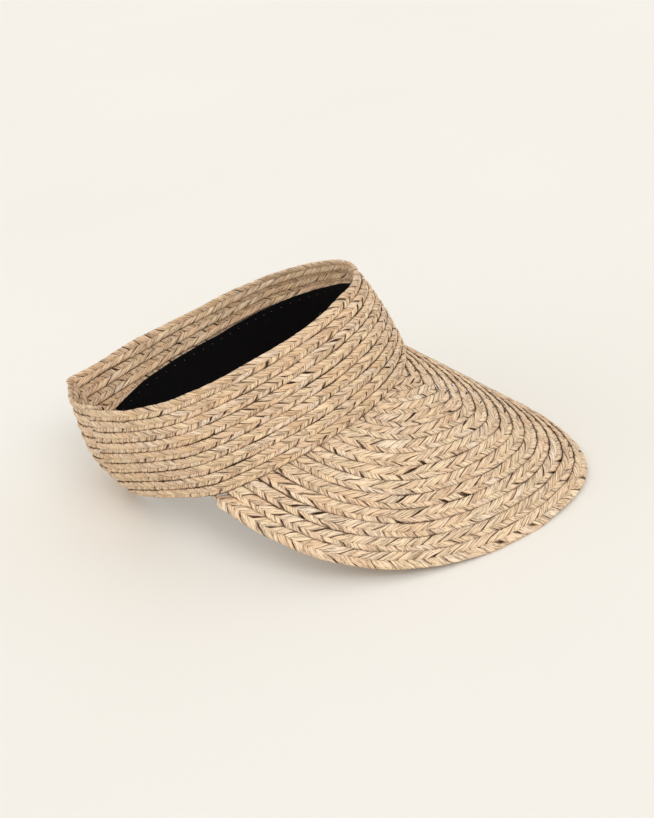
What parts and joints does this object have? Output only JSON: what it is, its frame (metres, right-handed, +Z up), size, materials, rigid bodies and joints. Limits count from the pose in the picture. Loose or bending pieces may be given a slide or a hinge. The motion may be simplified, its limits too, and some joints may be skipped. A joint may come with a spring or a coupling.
{
  "type": "sun visor",
  "caption": "Raffia sun visor with an open crown band of sewn plait, a long sloping plaited brim, a black cloth sweatband and a hook-and-loop back closure.",
  "frame": {"origin": "on the table, under the middle of the visor as it lies on its brim edge and the back of its band", "axes": "+X to the visor's front, +Y to the wearer's left, +Z up; the band leans back 18.9 degrees from vertical"},
  "size_m": [0.3097, 0.2102, 0.121],
  "materials": {
    "crown_raffia": "dry natural raffia plait, tan, fine lengthwise fibres",
    "brim_raffia": "dry natural raffia plait, pale straw, fine lengthwise fibres",
    "sweatband_twill": "matt black cotton twill",
    "white_thread": "white sewing thread",
    "tan_thread": "tan sewing thread",
    "hook_tape": "black woven tape with nylon hooks",
    "loop_tape": "black brushed loop tape"
  },
  "bodies": {
    "root": {"crown_row_01": "crown_raffia", "crown_row_02": "crown_raffia", "crown_row_03": "crown_raffia", "crown_row_04": "crown_raffia", "crown_row_05": "crown_raffia", "crown_row_06": "crown_raffia", "crown_row_07": "crown_raffia", "crown_row_08": "crown_raffia", "crown_row_09": "crown_raffia", "brim_row_01": "brim_raffia", "brim_row_02": "brim_raffia", "brim_row_03": "brim_raffia", "brim_row_04": "brim_raffia", "brim_row_05": "brim_raffia", "brim_row_06": "brim_raffia", "brim_row_07": "brim_raffia", "brim_row_08": "brim_raffia", "brim_row_09": "brim_raffia", "brim_row_10": "brim_raffia", "brim_row_11": "brim_raffia", "brim_row_12": "brim_raffia", "brim_row_13": "brim_raffia", "brim_row_14": "brim_raffia", "brim_row_15": "brim_raffia", "sweatband": "sweatband_twill", "sweatband_stitches": "white_thread", "brim_seam_stitches": "tan_thread"},
    "outer_end": {"outer_end_row_01": "crown_raffia", "outer_end_row_02": "crown_raffia", "outer_end_row_03": "crown_raffia", "outer_end_row_04": "crown_raffia", "outer_end_row_05": "crown_raffia", "outer_end_row_06": "crown_raffia", "outer_end_row_07": "crown_raffia", "outer_end_row_08": "crown_raffia", "outer_end_row_09": "crown_raffia", "hook_patch": "hook_tape"},
    "strap": {"strap_row_01": "crown_raffia", "strap_row_02": "crown_raffia", "strap_row_03": "crown_raffia", "strap_row_04": "crown_raffia", "strap_row_05": "crown_raffia", "strap_row_06": "crown_raffia", "strap_row_07": "crown_raffia", "strap_row_08": "crown_raffia", "strap_row_09": "crown_raffia", "loop_patch": "loop_tape"}
  },
  "joints": [
    {"name": "outer_end_peel", "type": "hinge", "parent": "root", "child": "outer_end", "pos_m": [-0.05954, -0.07104, 0.05618], "axis": [-0.3244, 0.0327, 0.9454], "range_deg": [0, 60], "stiffness_Nm_per_rad": 0.02},
    {"name": "strap_fold", "type": "hinge", "parent": "root", "child": "strap", "pos_m": [-0.12546, 0.02837, 0.03012], "axis": [-0.7041, 0.0682, 0.7068], "range_deg": [0, 18], "stiffness_Nm_per_rad": 0.04}
  ]
}
